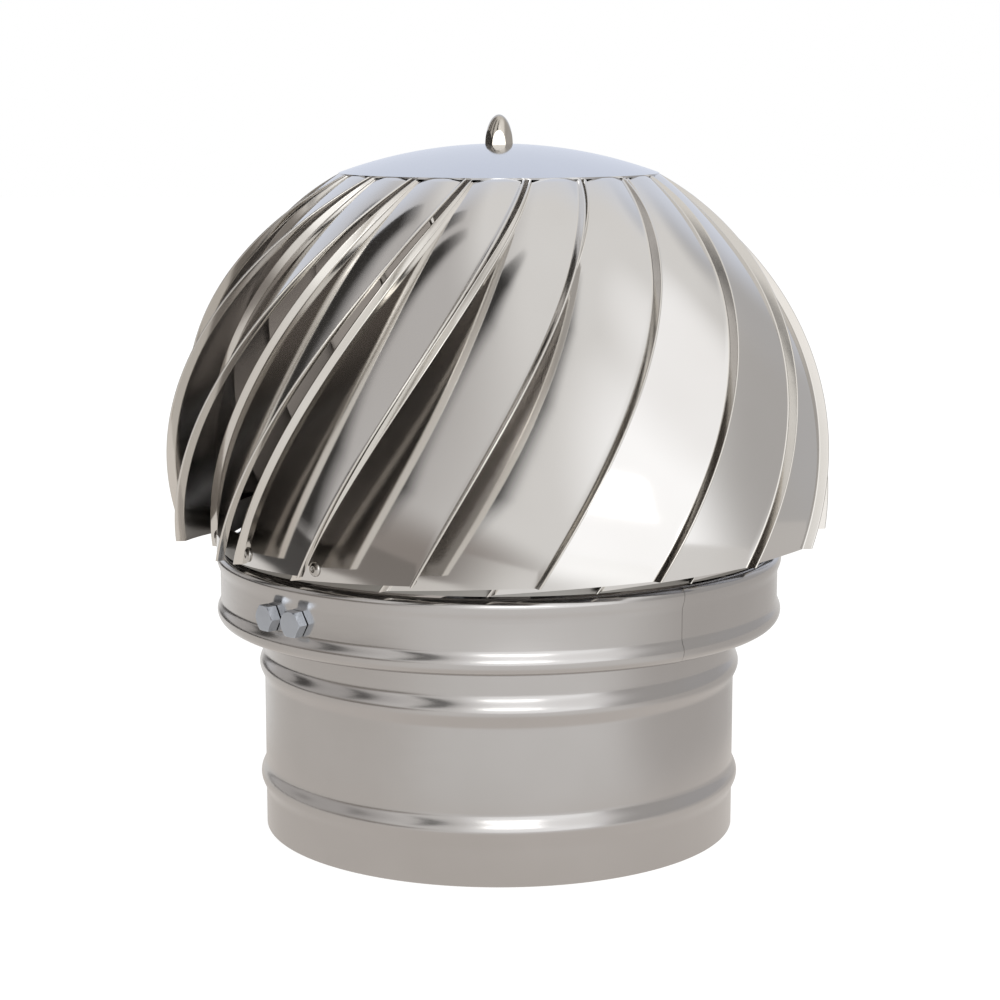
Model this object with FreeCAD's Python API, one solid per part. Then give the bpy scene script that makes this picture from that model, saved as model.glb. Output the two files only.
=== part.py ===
import FreeCAD, Part
import math
import os

from FreeCAD import Vector

# Rotating chimney cowl, in millimetres. The origin is the centre of the spigot's lower edge, and +Z
# is the axis that the head turns about. Angles are in degrees, anticlockwise seen from above.

# Sheet thicknesses and the room left between pieces
WALL = 0.8
VANE_SHEET = 0.6
RING_SHEET = 1.0
SEAT_GAP = 0.1
HOLE_ROOM = 0.3
SLIDE_FIT = 0.02

# Spigot: the tube that joins the flue
SPIGOT_R = 100.0
SPIGOT_H = 89.7
SPIGOT_LIP = 4.0
BEAD_RISE = 2.1
BEAD_WIDTH = 14.0
LOWER_BEAD_Z = 22.3
UPPER_BEAD_Z = 70.5

# Collar: the beaded band round the spigot's top
COLLAR_R = 118.0
COLLAR_H = 30.4
COLLAR_BEAD_RISE = 1.5
COLLAR_FOOT_H = 10.4
COLLAR_FOOT_CURL = 5.0
COLLAR_HEAD_H = 9.5
COLLAR_ROLL_R = 3.3
SEAM_ANGLE = -53.0
SEAM_WIDTH = 0.6
SEAM_DEPTH = 0.4

# Bridge: the strap across the collar, and the bolts that hold its ends
BRIDGE_ANGLE = 44.25
BRIDGE_WIDTH = 32.0
BRIDGE_T = 3.0
BRIDGE_TAB_H = 18.0
BRIDGE_LIFT = 1.0
BOLT_SPACING = 15.5
BOLT_UP = 14.9
BOLT_R = 3.0
BOLT_SEAT = 0.3
BOLT_FLATS = 10.0
BOLT_HEAD_H = 4.2
BOLT_NUT_H = 5.0
BOLT_TIP = 1.0

# Ball bearings: two of the same size
BEARING_BORE_R = 4.0
BEARING_R = 11.0
BEARING_W = 7.0
BEARING_SPAN = 21.0
BALL_R = 1.98
BALL_COUNT = 7
BALL_GAP = 0.06
CAGE_T = 0.9
CAGE_W = 5.2
LAND_STEP = 1.3

# Bearing housing on the strap
HOUSING_WALL = 4.0
HOUSING_SHOULDER = 1.6
FLANGE_T = 4.0
FLANGE_END_R = 7.5
FLANGE_SCREW_X = 24.0
SCREW_R = 2.5
SCREW_FLATS = 8.0
SCREW_HEAD_H = 3.5
SCREW_NUT_H = 4.0
CIRCLIP_T = 1.0
CIRCLIP_WIDTH = 2.2
CIRCLIP_DEPTH = 0.6
CIRCLIP_MOUTH = 8.0
HOUSING_EDGE = 1.0

# Spindle, its lower nut and washers
SPINDLE_ROD_R = 5.0
SPINDLE_STUD_R = 3.0
SPINDLE_NUT_FLATS = 13.0
SPINDLE_NUT_H = 6.5
SPINDLE_TIP = 2.0
WASHER_T = 1.6
SPINDLE_WASHER_R = 6.0

# Head: the ball of vanes
HEAD_R = 140.9
HEAD_GAP = 1.7
HEAD_BELOW = 30.6
VANE_COUNT = 18
VANE_TOP_ANGLE = -60.5
VANE_TWIST = 44.0
VANE_LAP = 8.0
VANE_TOP_GAP = 0.8
VANE_GAP_DEPTH = 0.3
VANE_INSET_TOP = 2.4
VANE_INSET_DEEP = 21.3
VANE_INSET_TURN = 117.0
VANE_UNDER_CROWN = 3.7
VANE_DIP = 1.75
VANE_BULGE = 1.4
VANE_END_RISE = 6.3
HEM_SLOPE = 52.0
HEM_SHEET = 1.1
HEM_RISE = 3.1
HEM_RISE_TOP = 0.9
HEM_GROWTH = 0.3
VANE_SECTIONS = 9

# Crown: the dished cap, and the acorn nut on it
CROWN_R = 66.5
CROWN_RISE = 11.6
CROWN_FLAT_R = 9.0
CROWN_WASHER_R = 8.0
CROWN_NUT_FLATS = 10.0
CROWN_NUT_R = 5.7
CROWN_NUT_H = 12.15
STUD_IN_NUT = 7.5

# Rings inside the head, and the rivets
TOP_RING_WIDTH = 9.0
LOWER_RING_H = 12.0
LOWER_RING_DROP = 0.5
RIVET_UP = 6.0
RIVET_IN = 8.7
RIVET_R = 1.6
RIVET_HEAD_R = 3.0
RIVET_HEAD_H = 1.2
RIVET_DIMPLE_R = 1.0
RIVET_TAIL = 1.5

# Heights that follow from the sizes above
COLLAR_Z = SPIGOT_H - WALL
COLLAR_TOP_Z = COLLAR_Z + COLLAR_H
BRIDGE_Z = SPIGOT_H + WALL + BRIDGE_LIFT
HOUSING_Z = BRIDGE_Z + BRIDGE_T
LOWER_BEARING_Z = HOUSING_Z + HOUSING_EDGE + CIRCLIP_T
UPPER_BEARING_Z = LOWER_BEARING_Z + BEARING_W + BEARING_SPAN
HOUSING_TOP_Z = UPPER_BEARING_Z + BEARING_W + CIRCLIP_T + HOUSING_EDGE
BOLT_Z = COLLAR_Z + BOLT_UP
VANE_BOTTOM_Z = COLLAR_TOP_Z + HEAD_GAP
HEAD_Z = VANE_BOTTOM_Z + HEAD_BELOW
RIM_POLAR = math.asin(CROWN_R / HEAD_R)
TOP_POLAR = math.asin((CROWN_R - VANE_UNDER_CROWN) / HEAD_R)
BOTTOM_POLAR = math.acos(-HEAD_BELOW / HEAD_R)
CROWN_RIM_Z = HEAD_Z + HEAD_R * math.cos(RIM_POLAR)
CROWN_Z = CROWN_RIM_Z + CROWN_RISE
ROD_TOP_Z = CROWN_Z - WALL - WASHER_T
VANE_PITCH = 360.0 / VANE_COUNT
HEM_SIN = math.sin(math.radians(HEM_SLOPE))
HEM_COS = math.cos(math.radians(HEM_SLOPE))
BALL_PITCH_R = (BEARING_BORE_R + BEARING_R) / 2

AXIS = Vector(0, 0, 1)
CENTRE = Vector(0, 0, 0)


def profile_point(point):
    """A radius and a height as a point of the half plane that is turned about the axis."""
    return Vector(point[0], 0, point[1])


def line(start, end):
    return Part.LineSegment(profile_point(start), profile_point(end)).toShape()


def arc(start, middle, end):
    return Part.Arc(profile_point(start), profile_point(middle), profile_point(end)).toShape()


def quarter(start, end, centre):
    """A quarter arc between two points of a profile, round a given centre."""
    radius = math.dist(start, centre)
    half_way = [(start[i] + end[i]) / 2 - centre[i] for i in range(2)]
    reach = radius / math.hypot(*half_way)
    middle = [centre[i] + half_way[i] * reach for i in range(2)]
    return arc(start, middle, end)


def s_curve(start, end):
    """Two equal arcs that lead from one upright wall to another, as at the side of a bead."""
    step = (end[0] - start[0]) / 2
    rise = (end[1] - start[1]) / 2
    half_turn = math.atan2(abs(step), rise)
    radius = rise / math.sin(2 * half_turn)
    bow = math.copysign(radius * (1 - math.cos(half_turn)), step)
    lift = radius * math.sin(half_turn)
    middle = (start[0] + step, start[1] + rise)
    first = arc(start, (start[0] + bow, start[1] + lift), middle)
    second = arc(middle, (end[0] - bow, end[1] - lift), end)
    return [first, second]


def turned(points):
    """A solid of revolution from the corners of its half section."""
    outline = [profile_point(point) for point in points]
    face = Part.Face(Part.makePolygon(outline + outline[:1]))
    return face.revolve(CENTRE, AXIS, 360)


def turned_sheet(edges, thickness):
    """A sheet of even thickness turned about the axis. The edges are its outer face, bottom to top."""
    section = Part.Wire(edges).makeOffset2D(thickness, join=2, fill=True, openResult=True)
    return section.revolve(CENTRE, AXIS, 360)


def tube(inner_r, outer_r, low, high):
    return turned([(inner_r, low), (outer_r, low), (outer_r, high), (inner_r, high)])


def rod(radius, low, high):
    return Part.makeCylinder(radius, high - low, Vector(0, 0, low), AXIS)


def hexagon(flats, low, high):
    corner = flats / math.sqrt(3)
    corners = [Vector(corner * math.cos(math.radians(60 * i)), corner * math.sin(math.radians(60 * i)), low)
               for i in range(7)]
    return Part.Face(Part.makePolygon(corners)).extrude(AXIS * (high - low))


def chamfered_hexagon(flats, low, high):
    """A hexagon whose top corners are turned off, as on a bolt head or a nut."""
    corner = flats / math.sqrt(3)
    cut = corner - flats / 2
    blank = turned([(0, low), (corner, low), (corner, high - cut / 2), (flats / 2, high), (0, high)])
    return hexagon(flats, low, high).common(blank)


def point_along(shape, start, direction):
    """A copy of a shape that was made along +Z, set at a point and turned to a direction."""
    placed = shape.copy()
    placed.Placement = FreeCAD.Placement(start, FreeCAD.Rotation(AXIS, direction))
    return placed


def point_out(shape, start, direction):
    """The same for a level direction, with the shape's X axis kept level too."""
    placed = shape.copy()
    level = AXIS.cross(direction)
    placed.Placement = FreeCAD.Placement(start, FreeCAD.Rotation(level, AXIS, direction, "ZXY"))
    return placed


def radial(angle):
    return Vector(math.cos(math.radians(angle)), math.sin(math.radians(angle)), 0)


def turn(shape, angle):
    copy = shape.copy()
    copy.rotate(CENTRE, AXIS, angle)
    return copy


def make_spigot():
    edges = []
    wall_top = 0.0
    for bead_z in (LOWER_BEAD_Z, UPPER_BEAD_Z):
        foot = (SPIGOT_R, bead_z - BEAD_WIDTH / 2)
        crest = (SPIGOT_R + BEAD_RISE, bead_z)
        end = (SPIGOT_R, bead_z + BEAD_WIDTH / 2)
        edges.append(line((SPIGOT_R, wall_top), foot))
        edges += s_curve(foot, crest) + s_curve(crest, end)
        wall_top = end[1]
    edges.append(line((SPIGOT_R, wall_top), (SPIGOT_R, SPIGOT_H)))
    edges.append(line((SPIGOT_R, SPIGOT_H), (SPIGOT_R + SPIGOT_LIP, SPIGOT_H)))
    return turned_sheet(edges, WALL)


def make_collar():
    bead_r = COLLAR_R + COLLAR_BEAD_RISE
    flange = (SPIGOT_R + SEAT_GAP, COLLAR_Z)
    curl_start = (bead_r - COLLAR_FOOT_CURL, COLLAR_Z)
    curl_end = (bead_r, COLLAR_Z + COLLAR_FOOT_CURL)
    face_low = (COLLAR_R, COLLAR_Z + COLLAR_FOOT_H)
    face_high = (COLLAR_R, COLLAR_TOP_Z - COLLAR_HEAD_H)
    roll_start = (bead_r, COLLAR_TOP_Z - COLLAR_ROLL_R)
    roll_end = (bead_r - COLLAR_ROLL_R, COLLAR_TOP_Z)
    edges = [line(flange, curl_start)]
    edges.append(quarter(curl_start, curl_end, (curl_start[0], curl_end[1])))
    edges += s_curve(curl_end, face_low)
    edges.append(line(face_low, face_high))
    edges += s_curve(face_high, roll_start)
    edges.append(quarter(roll_start, roll_end, (roll_end[0], roll_start[1])))
    band = turned_sheet(edges, WALL).cut(lap_seam())
    for angle in bolt_angles():
        band = band.cut(bolt_hole(angle))
    return band


def lap_seam():
    """The upright groove where the end of the band's sheet lies over its beginning."""
    high = COLLAR_TOP_Z - COLLAR_ROLL_R
    low = COLLAR_Z + COLLAR_FOOT_CURL
    groove_r = COLLAR_R - SEAM_DEPTH
    corner = Vector(groove_r, -SEAM_WIDTH / 2, low)
    groove = Part.makeBox(2 * COLLAR_FOOT_CURL, SEAM_WIDTH, high - low, corner)
    return turn(groove, SEAM_ANGLE)


def bolt_angles():
    half = math.degrees(math.asin(BOLT_SPACING / 2 / COLLAR_R))
    return [BRIDGE_ANGLE + end + side for end in (0, 180) for side in (-half, half)]


def bolt_hole(angle):
    drill = Part.makeCylinder(BOLT_R + HOLE_ROOM, COLLAR_R)
    return point_along(drill, radial(angle) * (COLLAR_R / 2) + AXIS * BOLT_Z, radial(angle))


def tab_outer_r():
    return COLLAR_R - WALL - SEAT_GAP


def nut_seat_r():
    """Where a flat nut meets the curved inner face of a strap end."""
    inner_r = tab_outer_r() - BRIDGE_T
    corner = BOLT_FLATS / math.sqrt(3)
    return math.sqrt(inner_r ** 2 - corner ** 2)


def make_bridge_bar():
    reach = tab_outer_r()
    blank = Part.makeBox(2 * reach, BRIDGE_WIDTH, BRIDGE_TAB_H, Vector(-reach, -BRIDGE_WIDTH / 2, BRIDGE_Z))
    strap = rod(reach, BRIDGE_Z, BRIDGE_Z + BRIDGE_T)
    ends = tube(reach - BRIDGE_T, reach, BRIDGE_Z, BRIDGE_Z + BRIDGE_TAB_H)
    bar = strap.fuse(ends).removeSplitter().common(blank)
    bar = bar.cut(rod(SPINDLE_NUT_FLATS, BRIDGE_Z, HOUSING_Z))
    for side in (-1, 1):
        hole = rod(SCREW_R + HOLE_ROOM, BRIDGE_Z, HOUSING_Z)
        bar = bar.cut(hole.translated(Vector(side * FLANGE_SCREW_X, 0, 0)))
    bar = turn(bar, BRIDGE_ANGLE)
    for angle in bolt_angles():
        bar = bar.cut(bolt_hole(angle))
    return bar


def make_collar_bolts():
    seat_r = COLLAR_R + BOLT_SEAT
    tip_r = nut_seat_r() - BOLT_NUT_H - BOLT_TIP
    shank = rod(BOLT_R, tip_r - seat_r, 0)
    bolt = chamfered_hexagon(BOLT_FLATS, 0, BOLT_HEAD_H).fuse(shank)
    return [point_out(bolt, radial(a) * seat_r + AXIS * BOLT_Z, radial(a)) for a in bolt_angles()]


def make_collar_nuts():
    nut = chamfered_hexagon(BOLT_FLATS, 0, BOLT_NUT_H).cut(rod(BOLT_R + SLIDE_FIT, 0, BOLT_NUT_H))
    return [point_out(nut, radial(a) * nut_seat_r() + AXIS * BOLT_Z, -radial(a)) for a in bolt_angles()]


def make_bearing_housing():
    outer_r = BEARING_R + HOUSING_WALL
    shoulder_r = BEARING_R - HOUSING_SHOULDER
    body = rod(outer_r, HOUSING_Z, HOUSING_TOP_Z)
    flange_box = Part.makeBox(2 * FLANGE_SCREW_X, 2 * FLANGE_END_R, FLANGE_T,
                              Vector(-FLANGE_SCREW_X, -FLANGE_END_R, HOUSING_Z))
    body = body.fuse(flange_box)
    ear = rod(FLANGE_END_R, HOUSING_Z, HOUSING_Z + FLANGE_T)
    hole = rod(SCREW_R + HOLE_ROOM, HOUSING_Z, HOUSING_Z + FLANGE_T)
    for side in (-1, 1):
        body = body.fuse(ear.translated(Vector(side * FLANGE_SCREW_X, 0, 0)))
    for side in (-1, 1):
        body = body.cut(hole.translated(Vector(side * FLANGE_SCREW_X, 0, 0)))
    groove_r = BEARING_R + CIRCLIP_DEPTH + SEAT_GAP
    body = body.cut(rod(shoulder_r, HOUSING_Z, HOUSING_TOP_Z))
    body = body.cut(rod(BEARING_R, HOUSING_Z, LOWER_BEARING_Z + BEARING_W))
    body = body.cut(rod(BEARING_R, UPPER_BEARING_Z, HOUSING_TOP_Z))
    for clip_z in circlip_heights():
        body = body.cut(rod(groove_r, clip_z, clip_z + CIRCLIP_T))
    return turn(body.removeSplitter(), BRIDGE_ANGLE)


def flange_screw_places():
    return [turn(Part.Vertex(side * FLANGE_SCREW_X, 0, HOUSING_Z), BRIDGE_ANGLE).Point for side in (-1, 1)]


def make_housing_screws():
    tip = -BRIDGE_T - SCREW_NUT_H - BOLT_TIP
    screw = chamfered_hexagon(SCREW_FLATS, FLANGE_T, FLANGE_T + SCREW_HEAD_H)
    screw = screw.fuse(rod(SCREW_R, tip, FLANGE_T))
    return [screw.translated(place) for place in flange_screw_places()]


def make_housing_nuts():
    nut = chamfered_hexagon(SCREW_FLATS, 0, SCREW_NUT_H).cut(rod(SCREW_R + SLIDE_FIT, 0, SCREW_NUT_H))
    return [point_along(nut, place - AXIS * BRIDGE_T, -AXIS) for place in flange_screw_places()]


def ball_groove(bearing_z):
    return Part.makeTorus(BALL_PITCH_R, BALL_R + BALL_GAP, Vector(0, 0, bearing_z + BEARING_W / 2), AXIS)


def make_bearing_outer(bearing_z):
    land_r = BALL_PITCH_R + LAND_STEP
    ring = tube(land_r, BEARING_R - SLIDE_FIT, bearing_z, bearing_z + BEARING_W)
    return ring.cut(ball_groove(bearing_z))


def make_bearing_inner(bearing_z):
    land_r = BALL_PITCH_R - LAND_STEP
    ring = tube(BEARING_BORE_R, land_r, bearing_z, bearing_z + BEARING_W)
    return ring.cut(ball_groove(bearing_z))


def ball_places(bearing_z):
    height = AXIS * (bearing_z + BEARING_W / 2)
    return [radial(360 * i / BALL_COUNT) * BALL_PITCH_R + height for i in range(BALL_COUNT)]


def make_bearing_balls(bearing_z):
    return [Part.makeSphere(BALL_R, place) for place in ball_places(bearing_z)]


def make_bearing_cage(bearing_z):
    middle = bearing_z + BEARING_W / 2
    low = middle - CAGE_W / 2
    cage = tube(BALL_PITCH_R - CAGE_T / 2, BALL_PITCH_R + CAGE_T / 2, low, low + CAGE_W)
    for i in range(BALL_COUNT):
        pocket = Part.makeCylinder(BALL_R + BALL_GAP, BALL_PITCH_R)
        out = radial(360 * i / BALL_COUNT)
        cage = cage.cut(point_along(pocket, out * (BALL_PITCH_R / 2) + AXIS * middle, out))
    return cage


def circlip_heights():
    return [LOWER_BEARING_Z - CIRCLIP_T, UPPER_BEARING_Z + BEARING_W]


def make_circlip(clip_z):
    outer_r = BEARING_R + CIRCLIP_DEPTH
    ring = tube(outer_r - CIRCLIP_WIDTH, outer_r, clip_z, clip_z + CIRCLIP_T)
    mouth = Part.makeBox(outer_r, CIRCLIP_MOUTH, CIRCLIP_T, Vector(0, -CIRCLIP_MOUTH / 2, clip_z))
    return ring.cut(mouth)


def spindle_nut_z():
    return LOWER_BEARING_Z - WASHER_T - SPINDLE_NUT_H


def make_spindle():
    journal_r = BEARING_BORE_R - SLIDE_FIT
    shoulder_z = UPPER_BEARING_Z + BEARING_W
    tip_z = spindle_nut_z() - SPINDLE_TIP
    stud_z = CROWN_Z + STUD_IN_NUT
    journal = [(0, tip_z), (journal_r, tip_z), (journal_r, shoulder_z)]
    long_rod = [(SPINDLE_ROD_R, shoulder_z), (SPINDLE_ROD_R, ROD_TOP_Z)]
    stud = [(SPINDLE_STUD_R, ROD_TOP_Z), (SPINDLE_STUD_R, stud_z), (0, stud_z)]
    return turned(journal + long_rod + stud)


def make_bearing_spacer():
    land_r = BALL_PITCH_R - LAND_STEP
    return tube(BEARING_BORE_R, land_r, LOWER_BEARING_Z + BEARING_W, UPPER_BEARING_Z)


def make_spindle_washer():
    return tube(BEARING_BORE_R, SPINDLE_WASHER_R, LOWER_BEARING_Z - WASHER_T, LOWER_BEARING_Z)


def make_spindle_nut():
    top_z = LOWER_BEARING_Z - WASHER_T
    nut = chamfered_hexagon(SPINDLE_NUT_FLATS, 0, SPINDLE_NUT_H)
    nut = nut.cut(rod(BEARING_BORE_R, 0, SPINDLE_NUT_H))
    return point_along(nut, AXIS * top_z, -AXIS)


def crown_arc_centre():
    """Height of the centre of the crown's dished part, which runs from its flat to its rim."""
    fall = CROWN_Z - CROWN_RIM_Z
    return (CROWN_Z + CROWN_RIM_Z) / 2 - (CROWN_R ** 2 - CROWN_FLAT_R ** 2) / (2 * fall)


def make_crown():
    centre_z = crown_arc_centre()
    radius = math.hypot(CROWN_R, CROWN_RIM_Z - centre_z)
    middle_r = (CROWN_R + CROWN_FLAT_R) / 2
    middle = (middle_r, centre_z + math.sqrt(radius ** 2 - middle_r ** 2))
    hole_r = SPINDLE_STUD_R + HOLE_ROOM
    dish = arc((CROWN_R, CROWN_RIM_Z), middle, (CROWN_FLAT_R, CROWN_Z))
    return turned_sheet([dish, line((CROWN_FLAT_R, CROWN_Z), (hole_r, CROWN_Z))], WALL)


def make_crown_washer():
    return tube(SPINDLE_STUD_R + SLIDE_FIT, CROWN_WASHER_R, ROD_TOP_Z, CROWN_Z - WALL)


def make_crown_nut():
    """A tall dome whose foot is milled to a hexagon."""
    centre = profile_point((0, CROWN_Z))
    tip = (0, CROWN_Z + CROWN_NUT_H)
    foot = (CROWN_NUT_R, CROWN_Z)
    oval = Part.Ellipse(profile_point(tip), profile_point(foot), centre)
    side = Part.ArcOfEllipse(oval, 0, math.pi / 2).toShape()
    outline = Part.Wire([side, line(foot, (0, CROWN_Z)), line((0, CROWN_Z), tip)])
    dome = Part.Face(outline).revolve(CENTRE, AXIS, 360)
    thread = rod(SPINDLE_STUD_R + SLIDE_FIT, CROWN_Z, CROWN_Z + STUD_IN_NUT + SEAT_GAP)
    return dome.common(hexagon(CROWN_NUT_FLATS, CROWN_Z, tip[1])).cut(thread)


class Chord:
    """The level cut through a vane at one polar angle of the head's sphere: the straight line from its
    inner edge to its ridge. Room across the sheet is stretched where the sheet leans, so that the sheet
    keeps its thickness."""

    def __init__(self, polar):
        down = (polar - RIM_POLAR) / (BOTTOM_POLAR - RIM_POLAR)
        dip = VANE_DIP * max(0.0, -down) * (BOTTOM_POLAR - RIM_POLAR) / (RIM_POLAR - TOP_POLAR)
        reach = HEAD_R - dip
        self.lean = 1 / math.sin(polar)
        self.z = HEAD_Z + reach * math.cos(polar)
        ridge_r = reach * math.sin(polar)
        ridge_angle = VANE_TOP_ANGLE - VANE_TWIST * down
        below = max(0.0, down)
        inset = VANE_INSET_DEEP - VANE_INSET_TOP
        inset = VANE_INSET_TOP + inset * math.sin(math.radians(VANE_INSET_TURN * below))
        lap = VANE_LAP * below ** 2 - VANE_TOP_GAP * max(0.0, 1 - below / VANE_GAP_DEPTH)
        inner_angle = ridge_angle - VANE_PITCH - lap
        growth = math.sin(math.pi / 2 * min(1.0, below / HEM_GROWTH))
        self.hem_rise = HEM_RISE_TOP + (HEM_RISE - HEM_RISE_TOP) * growth
        self.inner = radial(inner_angle) * (ridge_r - inset)
        ridge = radial(ridge_angle) * (ridge_r - self.hem_rise * self.lean)
        self.length = (ridge - self.inner).Length
        self.along = (ridge - self.inner).normalize()
        self.out = self.along.cross(AXIS)
        self.panel_in = HEM_SHEET * HEM_SIN + self.hem_rise * HEM_COS / HEM_SIN
        self.back_in = self.panel_in - (HEM_SHEET - VANE_SHEET * HEM_COS) / HEM_SIN

    def point(self, along, out):
        place = self.inner + self.along * along + self.out * (out * self.lean)
        return Vector(place.x, place.y, self.z)

    def bulge(self, along):
        half = self.length / 2 - self.panel_in
        return VANE_BULGE * (1 - ((along - self.length / 2) / half) ** 2)


def vane_outline(polar):
    """Closed level section of a vane: a slightly bulged panel between two edges that are hemmed to
    double thickness and bent outwards."""
    chord = Chord(polar)
    far = chord.length
    panel_in = chord.panel_in
    back_in = chord.back_in
    tip_in = HEM_SHEET * HEM_SIN
    tip_back = chord.hem_rise - HEM_SHEET * HEM_COS
    inner = [chord.point(back_in, -VANE_SHEET), chord.point(0, tip_back),
             chord.point(tip_in, chord.hem_rise), chord.point(panel_in, 0)]
    ridge = [chord.point(far - panel_in, 0), chord.point(far - tip_in, chord.hem_rise),
             chord.point(far, tip_back), chord.point(far - back_in, -VANE_SHEET)]
    face = Part.Arc(inner[-1], chord.point(far / 2, VANE_BULGE), ridge[0]).toShape()
    back = Part.Arc(ridge[-1], chord.point(far / 2, VANE_BULGE - VANE_SHEET), inner[0]).toShape()
    return Part.Wire(Part.makePolygon(inner).Edges + [face] + Part.makePolygon(ridge).Edges + [back])


def vane_end_wedge():
    """What is cut off a vane's lower end, so that the end rises from its inner edge to its ridge."""
    chord = Chord(BOTTOM_POLAR)
    reach = 2 * chord.length
    start = chord.point(0, -chord.length)
    across = chord.along * reach
    top = across + AXIS * (VANE_END_RISE * reach / chord.length)
    side = Part.makePolygon([start, start + across, start + top, start])
    return Part.Face(side).extrude(chord.out * reach)


def make_vane():
    span = BOTTOM_POLAR - TOP_POLAR
    polars = [TOP_POLAR + span * i / (VANE_SECTIONS - 1) for i in range(VANE_SECTIONS)]
    blade = Part.makeLoft([vane_outline(polar) for polar in polars], True, False)
    return blade.cut(vane_end_wedge()).cut(rivet_hole())


def rivet_polar(up):
    return math.acos((VANE_BOTTOM_Z + up - HEAD_Z) / HEAD_R)


def rivet_seat():
    """Point on the vane's outer face where its rivet sits, and the way out of the sheet there."""
    chord = Chord(rivet_polar(RIVET_UP))
    higher = Chord(rivet_polar(RIVET_UP + 1))
    seat = chord.point(RIVET_IN, chord.bulge(RIVET_IN))
    across = chord.point(RIVET_IN + 1, chord.bulge(RIVET_IN + 1)) - seat
    up = higher.point(RIVET_IN, higher.bulge(RIVET_IN)) - seat
    return seat, across.cross(up).normalize()


def rivet_hole():
    seat, out = rivet_seat()
    length = 4 * RIVET_HEAD_R
    drill = Part.makeCylinder(RIVET_R + SEAT_GAP, 2 * length, Vector(0, 0, -length))
    return point_along(drill, seat, out)


def make_ring_rivets():
    seat, out = rivet_seat()
    grip = seat.x * out.x + seat.y * out.y - lower_ring_r() + RING_SHEET + RIVET_TAIL
    rivet = turned([(0, -grip), (RIVET_R, -grip), (RIVET_R, SEAT_GAP), (RIVET_HEAD_R, SEAT_GAP),
                    (RIVET_DIMPLE_R, SEAT_GAP + RIVET_HEAD_H), (0, SEAT_GAP)])
    first = point_along(rivet, seat, out)
    return [turn(first, VANE_PITCH * i) for i in range(VANE_COUNT)]


def lower_ring_r():
    chord = Chord(BOTTOM_POLAR)
    corner = chord.point(chord.back_in, -VANE_SHEET)
    return math.hypot(corner.x, corner.y) - SEAT_GAP


def make_lower_ring():
    low = VANE_BOTTOM_Z - LOWER_RING_DROP
    hoop = tube(lower_ring_r() - RING_SHEET, lower_ring_r(), low, low + LOWER_RING_H)
    for i in range(VANE_COUNT):
        hoop = hoop.cut(turn(rivet_hole(), VANE_PITCH * i))
    return hoop


def make_top_ring():
    """A sloping sheet ring that lies against the inner edges of the vanes, under the crown."""
    high = Chord(TOP_POLAR).point(0, -VANE_SHEET)
    low = Chord(2 * RIM_POLAR - TOP_POLAR).point(0, -VANE_SHEET)
    slope = (low.z - high.z) / (math.hypot(low.x, low.y) - math.hypot(high.x, high.y))
    outer_r = math.hypot(high.x, high.y) - SEAT_GAP
    inner_r = outer_r - TOP_RING_WIDTH
    outer_z = high.z - SEAT_GAP
    inner_z = outer_z - slope * TOP_RING_WIDTH
    return turned([(outer_r, outer_z), (inner_r, inner_z), (inner_r, inner_z - RING_SHEET),
                   (outer_r, outer_z - RING_SHEET)])


def save(name, shapes):
    solids = shapes if isinstance(shapes, list) else [shapes]
    shape = solids[0] if len(solids) == 1 else Part.makeCompound(solids)
    shape.exportStep(os.path.join("parts", name + ".step"))


os.makedirs("parts", exist_ok=True)
save("spigot", make_spigot())
save("collar", make_collar())
save("bridge_bar", make_bridge_bar())
save("collar_bolts", make_collar_bolts())
save("collar_nuts", make_collar_nuts())
save("bearing_housing", make_bearing_housing())
save("housing_screws", make_housing_screws())
save("housing_nuts", make_housing_nuts())
bearing_heights = (LOWER_BEARING_Z, UPPER_BEARING_Z)
for place, bearing_z, clip_z in zip(("lower", "upper"), bearing_heights, circlip_heights()):
    save(place + "_bearing_outer", make_bearing_outer(bearing_z))
    save(place + "_bearing_inner", make_bearing_inner(bearing_z))
    save(place + "_bearing_balls", make_bearing_balls(bearing_z))
    save(place + "_bearing_cage", make_bearing_cage(bearing_z))
    save(place + "_circlip", make_circlip(clip_z))
save("spindle", make_spindle())
save("bearing_spacer", make_bearing_spacer())
save("spindle_washer", make_spindle_washer())
save("spindle_nut", make_spindle_nut())
save("crown", make_crown())
save("crown_washer", make_crown_washer())
save("crown_nut", make_crown_nut())
save("top_ring", make_top_ring())
save("lower_ring", make_lower_ring())
save("ring_rivets", make_ring_rivets())
vane = make_vane()
for number in range(VANE_COUNT):
    save(f"vane_{number + 1:02d}", turn(vane, VANE_PITCH * number))
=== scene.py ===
import math

import bmesh
import bpy
from mathutils import Matrix, Vector


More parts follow.
